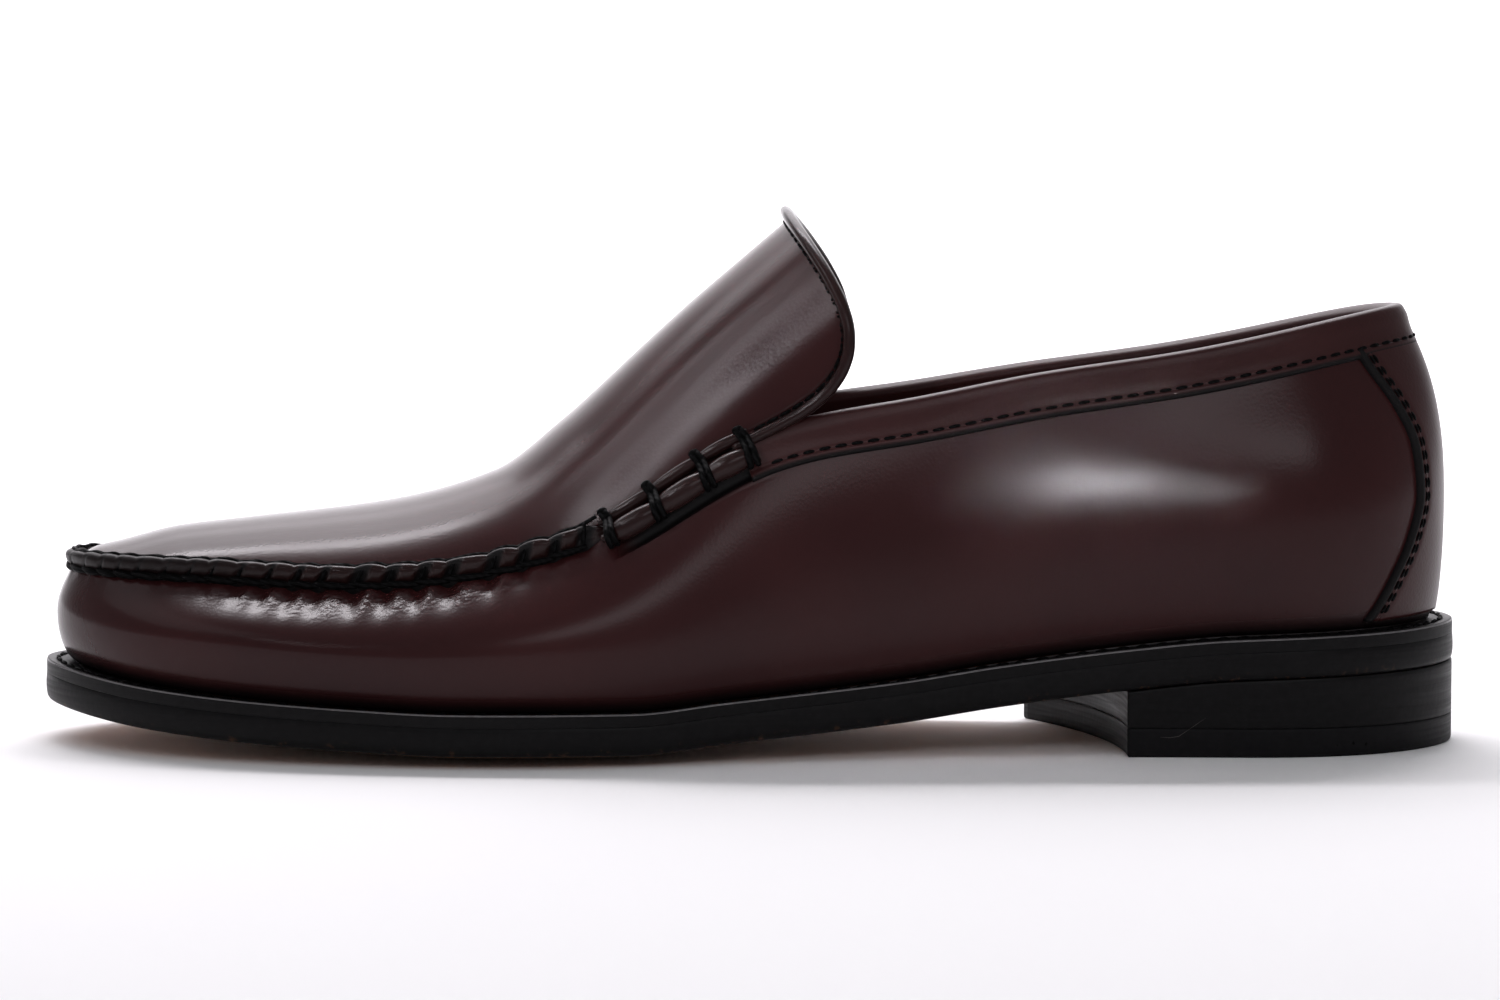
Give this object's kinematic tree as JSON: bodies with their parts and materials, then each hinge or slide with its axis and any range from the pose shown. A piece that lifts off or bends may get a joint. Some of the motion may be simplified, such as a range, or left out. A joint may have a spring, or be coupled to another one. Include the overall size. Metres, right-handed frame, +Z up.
{
  "type": "loafer",
  "caption": "Left venetian loafer: hollow last-shaped leather upper with raised apron seam and tongue, welted leather sole, stacked low heel and insole.",
  "frame": {"origin": "on the floor under the middle of the shoe's box", "axes": "+X from the toe towards the heel, +Y towards the inner (medial) side, +Z up"},
  "size_m": [0.3, 0.105, 0.1119],
  "materials": {
    "upper_leather": "polished dark burgundy-brown calf",
    "trim_leather": "polished dark burgundy-brown calf, folded edges",
    "sole_leather": "oak-brown sole leather with black waxed edge",
    "welt_leather": "black waxed welt",
    "heel_leather": "black waxed stacked leather",
    "top_piece_rubber": "matt black heel lift",
    "insole_leather": "smooth brown insole leather"
  },
  "bodies": {
    "root": {"upper": "upper_leather", "collar_band": "trim_leather", "tongue_binding": "trim_leather", "heel_strap": "trim_leather", "outer_lower_roll": "trim_leather", "outer_upper_roll": "trim_leather", "inner_lower_roll": "trim_leather", "inner_upper_roll": "trim_leather", "outsole": "sole_leather", "welt": "welt_leather", "heel_stack": "heel_leather", "heel_top_piece": "top_piece_rubber", "insole": "insole_leather"}
  },
  "joints": []
}
